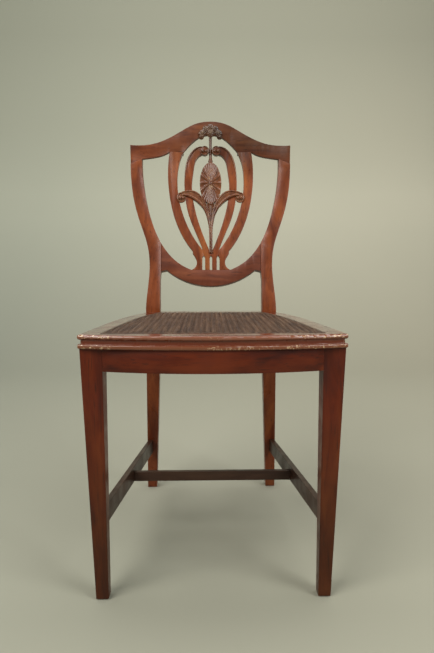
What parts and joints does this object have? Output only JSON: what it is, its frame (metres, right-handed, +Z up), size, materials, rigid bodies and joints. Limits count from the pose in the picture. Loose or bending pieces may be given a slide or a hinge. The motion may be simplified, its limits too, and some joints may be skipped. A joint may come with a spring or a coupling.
{
  "type": "shield back side chair",
  "caption": "Dining side chair with a pierced shield back, carved ribs and medallion, cane seat, tapered front legs and H stretcher.",
  "frame": {"origin": "on the floor under the middle of the chair's bounding box", "axes": "+Z up; the sitter faces -Y, so the back leans towards +Y; +X is the right-hand side seen from the front"},
  "size_m": [0.4364, 0.5256, 0.9093],
  "materials": {
    "mahogany": "worn semi-gloss polish",
    "seat_frame_wood": "worn semi-gloss polish",
    "block_wood": "bare",
    "cane": "stained and aged, satin",
    "screw_steel": "dull"
  },
  "bodies": {
    "root": {"front_leg_left": "mahogany", "front_leg_right": "mahogany", "rear_post_left": "mahogany", "rear_post_right": "mahogany", "front_seat_rail": "mahogany", "side_seat_rail_left": "mahogany", "side_seat_rail_right": "mahogany", "rear_seat_rail": "mahogany", "side_stretcher_left": "mahogany", "side_stretcher_right": "mahogany", "medial_stretcher": "mahogany", "crest_rail": "mahogany", "shield_lower_rail": "mahogany", "outer_rib_left": "mahogany", "outer_rib_right": "mahogany", "inner_rib_left": "mahogany", "inner_rib_right": "mahogany", "leaf_spray": "mahogany", "medallion": "mahogany", "upper_stem": "mahogany", "crest_carving": "mahogany", "seat_frame_front": "seat_frame_wood", "seat_frame_left": "seat_frame_wood", "seat_frame_right": "seat_frame_wood", "seat_frame_rear": "seat_frame_wood", "seat_frame_dowels": "block_wood", "cane_panel": "cane", "reed_spline": "cane", "corner_block_front_left": "block_wood", "corner_block_front_right": "block_wood", "corner_block_rear_left": "block_wood", "corner_block_rear_right": "block_wood", "corner_block_screws": "screw_steel", "seat_frame_screws": "screw_steel"}
  },
  "joints": []
}
